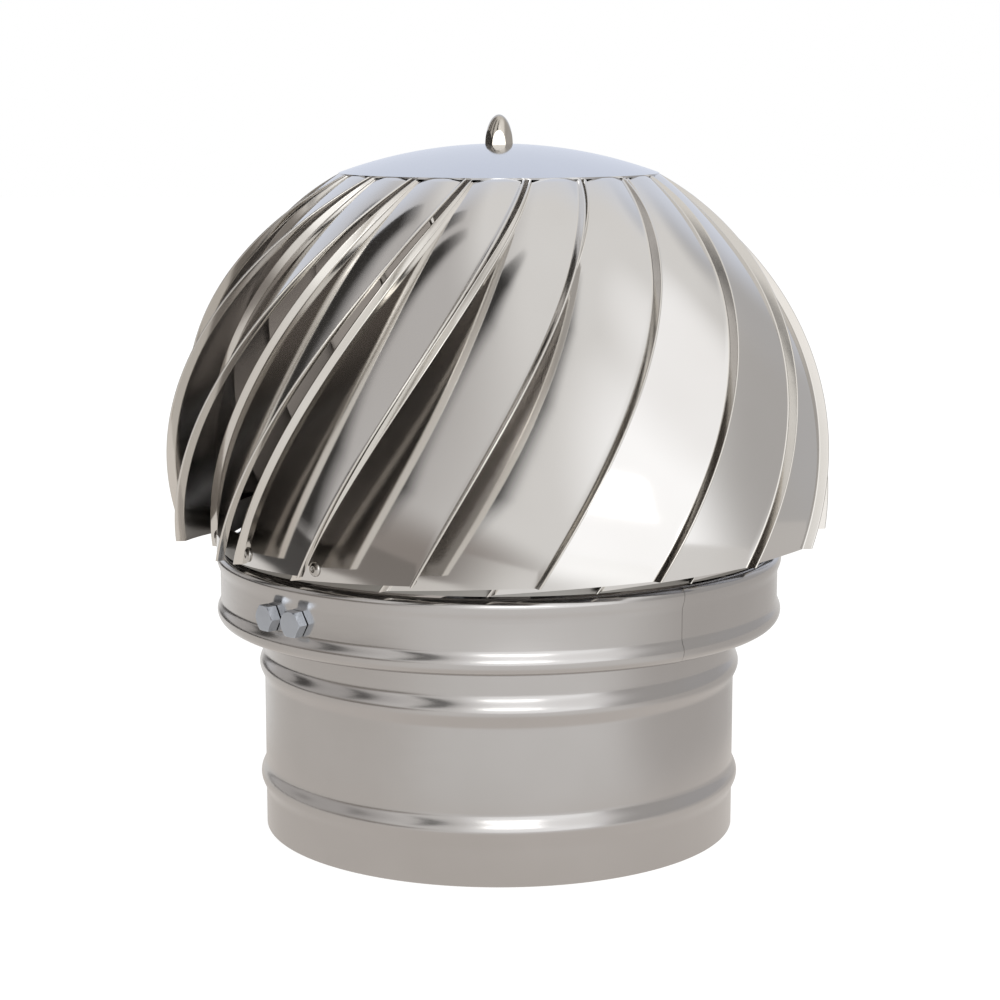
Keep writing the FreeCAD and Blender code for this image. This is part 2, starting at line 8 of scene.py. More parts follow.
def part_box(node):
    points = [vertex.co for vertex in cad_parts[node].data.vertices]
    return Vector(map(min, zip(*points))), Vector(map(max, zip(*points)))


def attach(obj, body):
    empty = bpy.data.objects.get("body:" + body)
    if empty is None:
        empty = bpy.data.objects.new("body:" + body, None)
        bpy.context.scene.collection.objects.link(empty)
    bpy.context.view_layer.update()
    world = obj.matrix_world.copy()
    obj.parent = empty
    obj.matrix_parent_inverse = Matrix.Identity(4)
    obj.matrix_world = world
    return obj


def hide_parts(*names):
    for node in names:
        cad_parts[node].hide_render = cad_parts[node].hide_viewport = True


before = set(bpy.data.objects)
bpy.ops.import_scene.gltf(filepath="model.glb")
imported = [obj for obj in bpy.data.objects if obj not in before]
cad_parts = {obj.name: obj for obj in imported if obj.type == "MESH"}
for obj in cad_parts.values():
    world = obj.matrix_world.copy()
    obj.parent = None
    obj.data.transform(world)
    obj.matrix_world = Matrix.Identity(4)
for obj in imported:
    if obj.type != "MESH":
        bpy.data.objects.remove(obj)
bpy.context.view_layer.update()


# Spigot: the round tube that joins the flue, rolled from thin satin stainless sheet.
# Two beads are swaged round it to stiffen it, and its top edge is flanged out over the collar's foot.
SPIGOT_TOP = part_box("spigot")[1].z
SPIGOT_R = 0.100
SHEET_WALL = 0.0008
SPIGOT_LIP = 0.004
BEAD_RISE = 0.0021
BEAD_WIDTH = 0.014
BEAD_HEIGHTS = (0.0223, 0.0705)
WALL_STEPS = 120
ROUND_STEPS = 192


def swaged_bead(z, middle, width, rise):
    """Radial rise of a smooth bead at height z."""
    offset = (z - middle) / width
    return rise * (0.5 + 0.5 * math.cos(2 * math.pi * offset)) if abs(offset) < 0.5 else 0.0


def finish_mesh(name, build, materials, sharp_degrees=35):
    """A smooth shaded object from a bmesh, with the edges that turn sharply left crisp."""
    bmesh.ops.recalc_face_normals(build, faces=build.faces)
    for edge in build.edges:
        edge.smooth = edge.calc_face_angle(0.0) < math.radians(sharp_degrees)
    for face in build.faces:
        face.smooth = True
    mesh = bpy.data.meshes.new(name)
    build.to_mesh(mesh)
    build.free()
    for material in materials:
        mesh.materials.append(material)
    piece = bpy.data.objects.new(name, mesh)
    bpy.context.scene.collection.objects.link(piece)
    return piece


def lathe(profile, angles=None, radius_change=None):
    """A bmesh turned about the axis from a closed profile of radius and height."""
    build = bmesh.new()
    rings = []
    for angle in angles or [2 * math.pi * step / ROUND_STEPS for step in range(ROUND_STEPS)]:
        ring = []
        for r, z in profile:
            reach = r + (radius_change(angle, r) if radius_change else 0.0)
            ring.append(build.verts.new((reach * math.cos(angle), reach * math.sin(angle), z)))
        rings.append(ring)
    for ring, following in zip(rings, rings[1:] + rings[:1]):
        for i in range(len(profile)):
            j = (i + 1) % len(profile)
            build.faces.new((ring[i], following[i], following[j], ring[j]))
    return build


def steel_finish(name, colour, tint, roughness, wave_depth, grain_stretch, grain_depth, wave_scale=9.0):
    """Stainless sheet: cloudy tint, uneven gloss, gentle waves of the sheet and fine drawn grain."""
    material = bpy.data.materials.new(name)
    material.use_nodes = True
    tree = material.node_tree
    shader = tree.nodes["Principled BSDF"]
    shader.inputs["Metallic"].default_value = 1.0
    place = tree.nodes.new("ShaderNodeTexCoord")

    clouds = tree.nodes.new("ShaderNodeTexNoise")
    clouds.inputs["Scale"].default_value = 14.0
    clouds.inputs["Detail"].default_value = 5.0
    tree.links.new(place.outputs["Object"], clouds.inputs["Vector"])
    tone = tree.nodes.new("ShaderNodeValToRGB")
    tone.color_ramp.elements[0].position = 0.3
    tone.color_ramp.elements[0].color = (*tint, 1.0)
    tone.color_ramp.elements[1].position = 0.7
    tone.color_ramp.elements[1].color = (*colour, 1.0)
    tree.links.new(clouds.outputs["Fac"], tone.inputs["Fac"])
    tree.links.new(tone.outputs["Color"], shader.inputs["Base Color"])

    stretch = tree.nodes.new("ShaderNodeMapping")
    stretch.inputs["Scale"].default_value = grain_stretch
    tree.links.new(place.outputs["Object"], stretch.inputs["Vector"])
    grain = tree.nodes.new("ShaderNodeTexNoise")
    grain.inputs["Scale"].default_value = 60.0
    grain.inputs["Detail"].default_value = 6.0
    grain.inputs["Roughness"].default_value = 0.65
    tree.links.new(stretch.outputs["Vector"], grain.inputs["Vector"])
    gloss = tree.nodes.new("ShaderNodeMapRange")
    gloss.inputs["To Min"].default_value = roughness[0]
    gloss.inputs["To Max"].default_value = roughness[1]
    tree.links.new(grain.outputs["Fac"], gloss.inputs["Value"])
    tree.links.new(gloss.outputs["Result"], shader.inputs["Roughness"])

    waves = tree.nodes.new("ShaderNodeTexNoise")
    waves.inputs["Scale"].default_value = wave_scale
    waves.inputs["Detail"].default_value = 1.0
    tree.links.new(place.outputs["Object"], waves.inputs["Vector"])
    sheet = tree.nodes.new("ShaderNodeBump")
    sheet.inputs["Strength"].default_value = 1.0
    sheet.inputs["Distance"].default_value = wave_depth
    tree.links.new(waves.outputs["Fac"], sheet.inputs["Height"])
    drawn = tree.nodes.new("ShaderNodeBump")
    drawn.inputs["Strength"].default_value = 0.5
    drawn.inputs["Distance"].default_value = grain_depth
    tree.links.new(grain.outputs["Fac"], drawn.inputs["Height"])
    tree.links.new(sheet.outputs["Normal"], drawn.inputs["Normal"])
    tree.links.new(drawn.outputs["Normal"], shader.inputs["Normal"])
    return material


flue_steel = steel_finish("satin_flue_steel", (0.60, 0.585, 0.575), (0.55, 0.535, 0.52), (0.13, 0.25),
                          wave_depth=0.0004, grain_stretch=(1.0, 1.0, 14.0), grain_depth=0.00002)


def spigot_profile():
    """Closed section of the wall: up the outside, over the flange and down the inside."""
    under_lip = SPIGOT_TOP - SHEET_WALL
    outer = []
    for i in range(WALL_STEPS + 1):
        z = under_lip * i / WALL_STEPS
        rise = sum(swaged_bead(z, middle, BEAD_WIDTH, BEAD_RISE) for middle in BEAD_HEIGHTS)
        outer.append((SPIGOT_R + rise, z))
    lip = [(SPIGOT_R + SPIGOT_LIP, under_lip), (SPIGOT_R + SPIGOT_LIP, SPIGOT_TOP)]
    inner = [(r - SHEET_WALL, z) for r, z in reversed(outer[:-1])]
    return outer + lip + [(SPIGOT_R - SHEET_WALL, SPIGOT_TOP)] + inner


spigot = finish_mesh("spigot_tube", lathe(spigot_profile()), [flue_steel])
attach(spigot, "base")
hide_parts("spigot")


# Collar: a band of the same sheet round the spigot's top, rolled over at its upper edge and turned in
# under its foot. Its two ends are lapped in an upright seam, and the strap inside is bolted to it.
collar_low, collar_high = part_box("collar")
COLLAR_R = 0.118
COLLAR_BEAD = 0.0015
COLLAR_CLEARANCE = 0.0001
COLLAR_STEPS = 2 * ROUND_STEPS
FOOT_CURL = 0.005
FOOT_H = 0.0104
HEAD_H = 0.0095
ROLL_R = 0.0033
SEAM_ANGLE = math.radians(-90 + 37)
SEAM_STEP = 0.0005
SEAM_REACH = math.radians(30)
SEAM_WIDTH = 0.0006
SEAM_DEPTH = 0.0005
SEAM_HALF = 0.5 * SEAM_WIDTH / COLLAR_R
SEAM_SIDE = 0.1 * SEAM_HALF


def quarter_turn(centre, radius, start, count=10):
    """Points of a quarter circle, anticlockwise from an angle in degrees."""
    return [(centre[0] + radius * math.cos(math.radians(start + 90 * i / count)),
             centre[1] + radius * math.sin(math.radians(start + 90 * i / count))) for i in range(count + 1)]


def wall_change(start, end, count=10):
    """Points of a smooth change of radius between two heights of a wall."""
    points = []
    for i in range(1, count + 1):
        share = 0.5 - 0.5 * math.cos(math.pi * i / count)
        points.append((start[0] + (end[0] - start[0]) * share, start[1] + (end[1] - start[1]) * i / count))
    return points


def collar_profile():
    """Closed section of the band: up the outside from its foot to its rolled top, and down the inside."""
    bead_r = COLLAR_R + COLLAR_BEAD
    foot = collar_low.z
    head = collar_high.z
    points = [(SPIGOT_R + COLLAR_CLEARANCE, foot)]
    points += quarter_turn((bead_r - FOOT_CURL, foot + FOOT_CURL), FOOT_CURL, -90)
    points += wall_change(points[-1], (COLLAR_R, foot + FOOT_H))
    points.append((COLLAR_R, head - HEAD_H))
    points += wall_change(points[-1], (bead_r, head - ROLL_R))
    points += quarter_turn((bead_r - ROLL_R, head - ROLL_R), ROLL_R, 0)[1:]
    inner = []
    for i, point in enumerate(points):
        before = points[max(i - 1, 0)]
        after = points[min(i + 1, len(points) - 1)]
        run = math.hypot(after[0] - before[0], after[1] - before[1])
        inner.append((point[0] - SHEET_WALL * (after[1] - before[1]) / run,
                      point[1] + SHEET_WALL * (after[0] - before[0]) / run))
    return points + inner[::-1]


def seam_lap(angle, r):
    """The outer end of the band stands proud at the seam and settles to the plain radius behind it."""
    behind = (SEAM_ANGLE - angle) % (2 * math.pi)
    if r < COLLAR_R - FOOT_CURL:
        return 0.0
    if min(behind, 2 * math.pi - behind) < SEAM_HALF + SEAM_SIDE / 2:
        return -SEAM_DEPTH
    return SEAM_STEP * (1 - behind / SEAM_REACH) ** 2 if behind < SEAM_REACH else 0.0


def seam_angles():
    """Even steps round the collar, with the two sides of the seam's groove between them."""
    shifts = (-SEAM_HALF - SEAM_SIDE, -SEAM_HALF, SEAM_HALF, SEAM_HALF + SEAM_SIDE)
    groove = [SEAM_ANGLE + shift for shift in shifts]
    even = [2 * math.pi * (step + 0.5) / COLLAR_STEPS + SEAM_ANGLE for step in range(COLLAR_STEPS)]
    return sorted(even + groove)


collar_mesh = lathe(collar_profile(), seam_angles(), seam_lap)
collar = finish_mesh("collar_band", collar_mesh, [flue_steel], sharp_degrees=50)
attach(collar, "base")
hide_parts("collar")


# Strap, bearing housing, spindle and bearings: the running gear inside, bent and turned from steel.
# They are seen only through the spigot and between the vanes, so they keep their own solids.
strap_steel = steel_finish("strap_steel", (0.40, 0.39, 0.37), (0.33, 0.32, 0.30), (0.30, 0.45),
                           wave_depth=0.0002, grain_stretch=(14.0, 1.0, 1.0), grain_depth=0.00003)
turned_steel = steel_finish("turned_steel", (0.46, 0.46, 0.46), (0.38, 0.38, 0.38), (0.18, 0.30),
                            wave_depth=0.00005, grain_stretch=(1.0, 1.0, 30.0), grain_depth=0.00002)
ground_steel = steel_finish("ground_bearing_steel", (0.62, 0.62, 0.64), (0.56, 0.56, 0.58), (0.08, 0.16),
                            wave_depth=0.00002, grain_stretch=(1.0, 1.0, 20.0), grain_depth=0.00001)
cage_brass = steel_finish("pressed_cage_brass", (0.70, 0.52, 0.24), (0.58, 0.42, 0.18), (0.25, 0.40),
                          wave_depth=0.00005, grain_stretch=(1.0, 1.0, 1.0), grain_depth=0.00002)
zinc_plate = steel_finish("zinc_plated_steel", (0.60, 0.64, 0.70), (0.50, 0.54, 0.60), (0.16, 0.30),
                          wave_depth=0.0001, grain_stretch=(1.0, 1.0, 1.0), grain_depth=0.00004,
                          wave_scale=120.0)


def dress(names, material, bevel=None):
    """Gives CAD nodes their finish, and eased edges where a width is given."""
    for name in names:
        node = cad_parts[name]
        node.data.materials.clear()
        node.data.materials.append(material)
        if bevel:
            ease = node.modifiers.new("eased_edges", "BEVEL")
            ease.width = bevel
            ease.segments = 2
            ease.limit_method = "ANGLE"
            ease.angle_limit = math.radians(40)


dress(["bridge_bar"], strap_steel)
dress(["bearing_housing", "spindle", "bearing_spacer"], turned_steel)
dress([f"{place}_bearing_{ring}" for place in ("lower", "upper") for ring in ("inner", "outer", "balls")],
      ground_steel)
dress(["lower_bearing_cage", "upper_bearing_cage"], cage_brass)
dress(["collar_nuts", "housing_screws", "housing_nuts", "spindle_nut", "spindle_washer", "crown_washer",
       "lower_circlip", "upper_circlip"], zinc_plate)


# Collar bolts: zinc plated hex bolts through the collar, two at each end of the strap inside.
# Their heads are cold forged with turned corners and stand proud of the band.
BOLT_EDGE = 0.0003
dress(["collar_bolts"], zinc_plate, BOLT_EDGE)


# Lower hoop and top ring: flat sheet hoops inside the head that the vanes are fixed to.
# The lower one takes a blind rivet from every vane, the upper one lies under the crown.
dress(["lower_ring", "top_ring"], strap_steel)


# Vanes: mirror polished stainless strips, curved and twisted over a ball shape, each tucked under
# its neighbour. Both long edges are folded back on the outside as flat hems.
HEAD_R = 0.1409
HEAD_Z = 0.1516
VANE_BOTTOM_Z = 0.121
VANE_END_RISE = 0.0063
CROWN_R = 0.0665
UNDER_CROWN = 0.0037
VANE_COUNT = 18
VANE_PITCH = 2 * math.pi / VANE_COUNT
TOP_ANGLE = math.radians(-60.5)
TWIST = math.radians(44.0)
LAP = math.radians(8.0)
TOP_GAP = math.radians(0.8)
GAP_DEPTH = 0.3
INSET_TOP = 0.0024
INSET_DEEP = 0.0213
INSET_TURN = math.radians(117.0)
TOP_DIP = 0.00175
BULGE = 0.0014
VANE_SHEET = 0.0006
HEM_SHEET = 0.0011
HEM_SLOPE = math.radians(52.0)
HEM_RISE = 0.0031
HEM_RISE_TOP = 0.0009
HEM_GROWTH = 0.3
BEND = 0.0005
VANE_ROWS = 72
FOLD_STEPS = 8
PANEL_STEPS = 24
BACK_STEPS = 12
RIM_POLAR = math.asin(CROWN_R / HEAD_R)
TOP_POLAR = math.asin((CROWN_R - UNDER_CROWN) / HEAD_R)
BOTTOM_POLAR = math.acos((VANE_BOTTOM_Z - HEAD_Z) / HEAD_R)

vane_steel = steel_finish("polished_vane_steel", (0.79, 0.78, 0.765), (0.75, 0.735, 0.715), (0.05, 0.11),
                          wave_depth=0.00018, grain_stretch=(1.0, 1.0, 1.0), grain_depth=0.000004,
                          wave_scale=12.0)
# The hems' warmer cream tint is a painted warm reflection, laid over the steel's own colour.
hem_steel_warm_reflection = steel_finish("folded_hem_steel_painted_reflection", (0.82, 0.80, 0.765), (0.77, 0.74, 0.69), (0.08, 0.18),
                         wave_depth=0.00004, grain_stretch=(1.0, 1.0, 1.0), grain_depth=0.00001,
                         wave_scale=60.0)
# The back of each vane is a duller mill finish, and its colour is also darkened well below the front as
# painted shade, so the inside of the head reads dark.
back_steel_and_shade = steel_finish("mill_back_steel_and_painted_shade", (0.47, 0.45, 0.43), (0.38, 0.36, 0.345), (0.14, 0.28),
                          wave_depth=0.0002, grain_stretch=(1.0, 1.0, 8.0), grain_depth=0.00002)
FRONT_FINISH, HEM_FINISH, BACK_FINISH_AND_SHADE = range(3)


def level_chord(polar):
    """The level line from a vane's inner edge to its ridge, at one polar angle of the head's ball."""
    down = (polar - RIM_POLAR) / (BOTTOM_POLAR - RIM_POLAR)
    below = max(0.0, down)
    dip = TOP_DIP * max(0.0, RIM_POLAR - polar) / (RIM_POLAR - TOP_POLAR)
    lean = 1 / math.sin(polar)
    growth = math.sin(math.pi / 2 * min(1.0, below / HEM_GROWTH))
    rise = HEM_RISE_TOP + (HEM_RISE - HEM_RISE_TOP) * growth
    ridge_r = (HEAD_R - dip) * math.sin(polar)
    ridge_angle = TOP_ANGLE - TWIST * down
    lap = LAP * below ** 2 - TOP_GAP * max(0.0, 1 - below / GAP_DEPTH)
    inner_angle = ridge_angle - VANE_PITCH - lap
    inset = INSET_TOP + (INSET_DEEP - INSET_TOP) * math.sin(INSET_TURN * below)
    inner_r = ridge_r - inset
    outer_r = ridge_r - rise * lean
    inner = Vector((inner_r * math.cos(inner_angle), inner_r * math.sin(inner_angle)))
    ridge = Vector((outer_r * math.cos(ridge_angle), outer_r * math.sin(ridge_angle)))
    height = HEAD_Z + (HEAD_R - dip) * math.cos(polar)
    return inner, ridge, lean, rise, height


def rounded_bend(before, corner, after, count=5):
    """Points of a soft bend that replaces a corner between two points."""
    points = []
    for i in range(count):
        t = i / (count - 1)
        points.append(before * (1 - t) ** 2 + corner * 2 * t * (1 - t) + after * t ** 2)
    return points


def vane_section(length, rise):
    """Closed section across a vane, from the back of its inner hem round the front and back again.
    Both edges are hemmed to nearly double thickness, rounded, and bent outwards."""
    along_hem = Vector((-math.cos(HEM_SLOPE), math.sin(HEM_SLOPE)))
    through_hem = Vector((math.sin(HEM_SLOPE), math.cos(HEM_SLOPE)))
    tip = Vector((HEM_SHEET * through_hem.x, rise))
    bend = Vector((tip.x + rise / math.tan(HEM_SLOPE), 0.0))
    back_bend = Vector((bend.x - (HEM_SHEET - VANE_SHEET * through_hem.y) / through_hem.x, -VANE_SHEET))
    half = HEM_SHEET / 2
    fold = tip - along_hem * half - through_hem * half

    def bulged(u, start, base):
        share = 1 - ((u - length / 2) / (length / 2 - start)) ** 2
        return Vector((u, base + BULGE * share))

    back_start = bulged(back_bend.x + BEND, back_bend.x, -VANE_SHEET)
    hem = rounded_bend(back_start, back_bend, back_bend + along_hem * BEND)
    for i in range(FOLD_STEPS + 1):
        turn = math.pi * i / FOLD_STEPS
        hem.append(fold - through_hem * (half * math.cos(turn)) + along_hem * (half * math.sin(turn)))
    hem += rounded_bend(bend + along_hem * BEND, bend, bulged(bend.x + BEND, bend.x, 0.0))
    other = [Vector((length - p.x, p.y)) for p in reversed(hem)]
    panel = []
    for i in range(1, PANEL_STEPS):
        panel.append(bulged(hem[-1].x + (length - 2 * hem[-1].x) * i / PANEL_STEPS, bend.x, 0.0))
    back = []
    for i in range(1, BACK_STEPS):
        across = other[-1].x + (length - 2 * other[-1].x) * i / BACK_STEPS
        back.append(bulged(across, back_bend.x, -VANE_SHEET))
    hem_part = [HEM_FINISH] * (len(hem) - 1)
    parts = hem_part + [FRONT_FINISH] * (len(panel) + 1) + hem_part + [BACK_FINISH_AND_SHADE] * (len(back) + 1)
    return hem + panel + other + back, parts


def vane_mesh():
    """One vane as a closed sheet. Its lower end rises from the inner edge to the ridge."""
    build = bmesh.new()
    inner, ridge, lean, rise, height = level_chord(BOTTOM_POLAR)
    far = (ridge - inner).length
    lowest, parts = vane_section(far, rise)
    ends = [math.acos((VANE_BOTTOM_Z + VANE_END_RISE * p.x / far - HEAD_Z) / HEAD_R) for p in lowest]
    rows = []
    for i in range(VANE_ROWS + 1):
        row = []
        for j, end in enumerate(ends):
            inner, ridge, lean, rise, height = level_chord(TOP_POLAR + (end - TOP_POLAR) * i / VANE_ROWS)
            along = (ridge - inner).normalized()
            out = Vector((along.y, -along.x))
            point = vane_section((ridge - inner).length, rise)[0][j]
            place = inner + along * point.x + out * (point.y * lean)
            row.append(build.verts.new((place.x, place.y, height)))
        rows.append(row)
    count = len(ends)
    for upper, lower in zip(rows, rows[1:]):
        for j in range(count):
            k = (j + 1) % count
            face = build.faces.new((upper[j], upper[k], lower[k], lower[j]))
            face.material_index = parts[j]
    for row in (rows[0], rows[-1]):
        face = build.faces.new(row)
        face.material_index = HEM_FINISH
    return build


vane_pattern = finish_mesh("vane_pattern", vane_mesh(), [vane_steel, hem_steel_warm_reflection, back_steel_and_shade])
for number in range(VANE_COUNT):
    strip = vane_pattern.copy()
    strip.data = vane_pattern.data.copy()
    strip.name = f"vane_strip_{number + 1:02d}"
    strip.data.name = strip.name
    turn = VANE_PITCH * number
    for vertex in strip.data.vertices:
        x, y, z = vertex.co
        vertex.co = (x * math.cos(turn) - y * math.sin(turn), x * math.sin(turn) + y * math.cos(turn), z)
    bpy.context.scene.collection.objects.link(strip)
    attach(strip, "rotor")
    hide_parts(f"vane_{number + 1:02d}")
bpy.data.objects.remove(vane_pattern)


# Blind rivets: one through the foot of every vane into the lower hoop, with a round flange
# and the hollow where the mandrel broke off.
rivet_steel = steel_finish("rivet_steel", (0.66, 0.64, 0.61), (0.56, 0.54, 0.51), (0.16, 0.28),
                           wave_depth=0.00005, grain_stretch=(1.0, 1.0, 1.0), grain_depth=0.00002,
                           wave_scale=200.0)
RIVET_UP = 0.006
RIVET_IN = 0.0087
RIVET_LIFT = 0.0001
RIVET_PROFILE = ((0.0, -0.0035), (0.0016, -0.0035), (0.0016, 0.0), (0.003, 0.0), (0.003, 0.0002),
                 (0.00285, 0.0005), (0.0025, 0.0008), (0.002, 0.00105), (0.0016, 0.00116), (0.00125, 0.0012),
                 (0.00105, 0.00112), (0.00095, 0.0009), (0.0009, 0.0003), (0.0, 0.0003))
RIVET_STEPS = 32
SIDE_STEP = 0.001
UP_STEP = 0.005


def vane_face(polar, along_chord):
    """A point of a vane's outer face at a polar angle, some way in from its inner edge."""
    inner, ridge, lean, rise, height = level_chord(polar)
    length = (ridge - inner).length
    along = (ridge - inner) / length
    bend = HEM_SHEET * math.sin(HEM_SLOPE) + rise / math.tan(HEM_SLOPE)
    out = BULGE * (1 - ((along_chord - length / 2) / (length / 2 - bend)) ** 2) * lean
    place = inner + along * along_chord + Vector((along.y, -along.x)) * out
    return Vector((place.x, place.y, height))


def rivet_mesh():
    """All the rivets, each turned about the way out of its vane's sheet."""
    polar = math.acos((VANE_BOTTOM_Z + RIVET_UP - HEAD_Z) / HEAD_R)
    seat = vane_face(polar, RIVET_IN)
    across = (vane_face(polar, RIVET_IN + SIDE_STEP) - seat).normalized()
    up = vane_face(polar - UP_STEP, RIVET_IN) - seat
    out = across.cross(up).normalized()
    side = out.cross(across)
    build = bmesh.new()
    for number in range(VANE_COUNT):
        spin = Matrix.Rotation(VANE_PITCH * number, 3, "Z")
        rings = []
        for r, lift in RIVET_PROFILE:
            middle = seat + out * (lift + RIVET_LIFT)
            steps = RIVET_STEPS if r else 1
            turns = [2 * math.pi * step / RIVET_STEPS for step in range(steps)]
            rings.append([build.verts.new(spin @ (middle + (across * math.cos(a) + side * math.sin(a)) * r))
                          for a in turns])
        for lower, upper in zip(rings, rings[1:]):
            for i in range(RIVET_STEPS):
                j = (i + 1) % RIVET_STEPS
                around = ((lower, i), (lower, j), (upper, j), (upper, i))
                corners = [ring[step % len(ring)] for ring, step in around]
                build.faces.new(list(dict.fromkeys(corners)))
    return build


rivets = finish_mesh("blind_rivets", rivet_mesh(), [rivet_steel], sharp_degrees=50)
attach(rivets, "rotor")
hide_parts("ring_rivets")


# Crown: a thin polished cap dished from one disc, with a small pressed flat for the nut.
# It covers the top ends of the vanes and is clamped to the spindle.
CROWN_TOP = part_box("crown")[1].z
CROWN_RISE = 0.0116
CROWN_FLAT_R = 0.009
CROWN_HOLE_R = 0.0033
CROWN_STEPS = 48
crown_steel = steel_finish("polished_crown_steel", (0.74, 0.75, 0.77), (0.70, 0.71, 0.74), (0.06, 0.13),
                           wave_depth=0.0001, grain_stretch=(1.0, 1.0, 1.0), grain_depth=0.000004,
                           wave_scale=12.0)


def crown_profile():
    """Closed section of the cap, from its rim to the flat at its middle and back underneath."""
    rim_z = CROWN_TOP - CROWN_RISE
    centre_z = (CROWN_TOP + rim_z) / 2 - (CROWN_R ** 2 - CROWN_FLAT_R ** 2) / (2 * CROWN_RISE)
    radius = math.hypot(CROWN_R, rim_z - centre_z)
    outer, inner = [], []
    for i in range(CROWN_STEPS + 1):
        r = CROWN_R + (CROWN_FLAT_R - CROWN_R) * i / CROWN_STEPS
        rise = math.sqrt(radius ** 2 - r ** 2)
        outer.append((r, centre_z + rise))
        inner.append((r * (1 - SHEET_WALL / radius), centre_z + rise * (1 - SHEET_WALL / radius)))
    outer.append((CROWN_HOLE_R, CROWN_TOP))
    inner.append((CROWN_HOLE_R, CROWN_TOP - SHEET_WALL))
    return outer + inner[::-1]


crown = finish_mesh("crown_cap", lathe(crown_profile()), [crown_steel], sharp_degrees=50)
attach(crown, "rotor")
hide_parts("crown")


# Acorn nut: the domed hex nut on top, turned from bar and polished.
# It screws onto the spindle's end and clamps the crown.
ACORN_EDGE = 0.0002
acorn_steel = steel_finish("polished_acorn_steel", (0.66, 0.62, 0.56), (0.56, 0.52, 0.46), (0.10, 0.20),
                           wave_depth=0.00005, grain_stretch=(1.0, 1.0, 1.0), grain_depth=0.00002,
                           wave_scale=150.0)
dress(["crown_nut"], acorn_steel, ACORN_EDGE)


# Floor: a wide sheet of pale paper that the cowl stands on, white to the camera but for a soft shadow.
# To mirrored rays it glows instead with painted reflections of a room: bright in front, darker at the sides
# and round the foot, where a painted shadow lies, and darkest far off on the left.
FLOOR_SIZE = 12.0
FLOOR_COLOUR = (0.82, 0.79, 0.755)
FLOOR_GLOW = 1.25
GLOW_SHARE = 0.72
MIRROR_SHARE = 0.95
ROOM_GREY = (0.80, 0.785, 0.77)
PATCH_CENTRE_Z = 0.14
NEAR_PATCHES = (((-1.0, -0.2, 0.0), 62, 15, (0.66, 0.63, 0.60), 0.0),
                ((1.0, 0.2, 0.0), 60, 25, (0.57, 0.545, 0.525), 0.0),
                ((0.15, -1.0, -0.09), 28, 10, (1.25, 1.25, 1.25), 3.0))
FAR_PATCHES = (((-0.97, -0.26, -0.1), 45, 25, (0.20, 0.18, 0.165), 1.0),
               ((-0.85, 0.53, 0.0), 34, 20, (0.045, 0.042, 0.04), 0.7))
# A painted shadow round the foot, seen only in the steel's reflections of the floor.
FOOT_SHADOW_PATCHES = (((0.0, 0.0, -1.0), 60, 48, (0.70, 0.66, 0.625), 1.0),)
FAR_START = 0.66
FAR_END = 0.78

half_floor = FLOOR_SIZE / 2
floor_mesh = bpy.data.meshes.new("studio_floor")
floor_mesh.from_pydata([(-half_floor, -half_floor, 0), (half_floor, -half_floor, 0),
                        (half_floor, half_floor, 0), (-half_floor, half_floor, 0)], [], [(0, 1, 2, 3)])
floor = bpy.data.objects.new("studio_floor", floor_mesh)
bpy.context.scene.collection.objects.link(floor)
floor_paper = bpy.data.materials.new("pale_floor")
floor_paper.use_nodes = True
floor_tree = floor_paper.node_tree
floor_tree.nodes.clear()
floor_path = floor_tree.nodes.new("ShaderNodeLightPath")


def soft_patches(tree, place, under, patches):
    """Lays soft patches of colour over another colour, each round its own direction.
    A patch fades between its edge and core angles. A flatten value above 1 makes it low and wide,
    and one below 1 makes it tall."""
    for direction, edge, core, colour, flatten in patches:
        squash = tree.nodes.new("ShaderNodeVectorMath")
        squash.operation = "MULTIPLY"
        squash.inputs[1].default_value = (1.0, 1.0, flatten)
        tree.links.new(place, squash.inputs[0])
        unit = tree.nodes.new("ShaderNodeVectorMath")
        unit.operation = "NORMALIZE"
        tree.links.new(squash.outputs["Vector"], unit.inputs[0])
        facing = tree.nodes.new("ShaderNodeVectorMath")
        facing.operation = "DOT_PRODUCT"
        facing.inputs[1].default_value = Vector(direction).normalized()
        tree.links.new(unit.outputs["Vector"], facing.inputs[0])
        share = tree.nodes.new("ShaderNodeMapRange")
        share.interpolation_type = "SMOOTHSTEP"
        share.inputs["From Min"].default_value = math.cos(math.radians(edge))
        share.inputs["From Max"].default_value = math.cos(math.radians(core))
        tree.links.new(facing.outputs["Value"], share.inputs["Value"])
        blend = tree.nodes.new("ShaderNodeMix")
        blend.data_type = "RGBA"
        tree.links.new(share.outputs["Result"], blend.inputs["Factor"])
        tree.links.new(under, blend.inputs["A"])
        blend.inputs["B"].default_value = (*colour, 1.0)
        under = blend.outputs["Result"]
    return under


def shown_to(ray, share, usual, special):
    """The floor's usual shader, with a share of a special one mixed in for one kind of ray."""
    part = floor_tree.nodes.new("ShaderNodeMath")
    part.operation = "MULTIPLY"
    part.inputs[1].default_value = share
    floor_tree.links.new(floor_path.outputs[ray], part.inputs[0])
    mix = floor_tree.nodes.new("ShaderNodeMixShader")
    floor_tree.links.new(part.outputs["Value"], mix.inputs["Fac"])
    floor_tree.links.new(usual, mix.inputs[1])
    floor_tree.links.new(special, mix.inputs[2])
    return mix.outputs["Shader"]


floor_matt = floor_tree.nodes.new("ShaderNodeBsdfDiffuse")
floor_matt.inputs["Color"].default_value = (*FLOOR_COLOUR, 1.0)
floor_glow = floor_tree.nodes.new("ShaderNodeEmission")
floor_glow.inputs["Strength"].default_value = FLOOR_GLOW

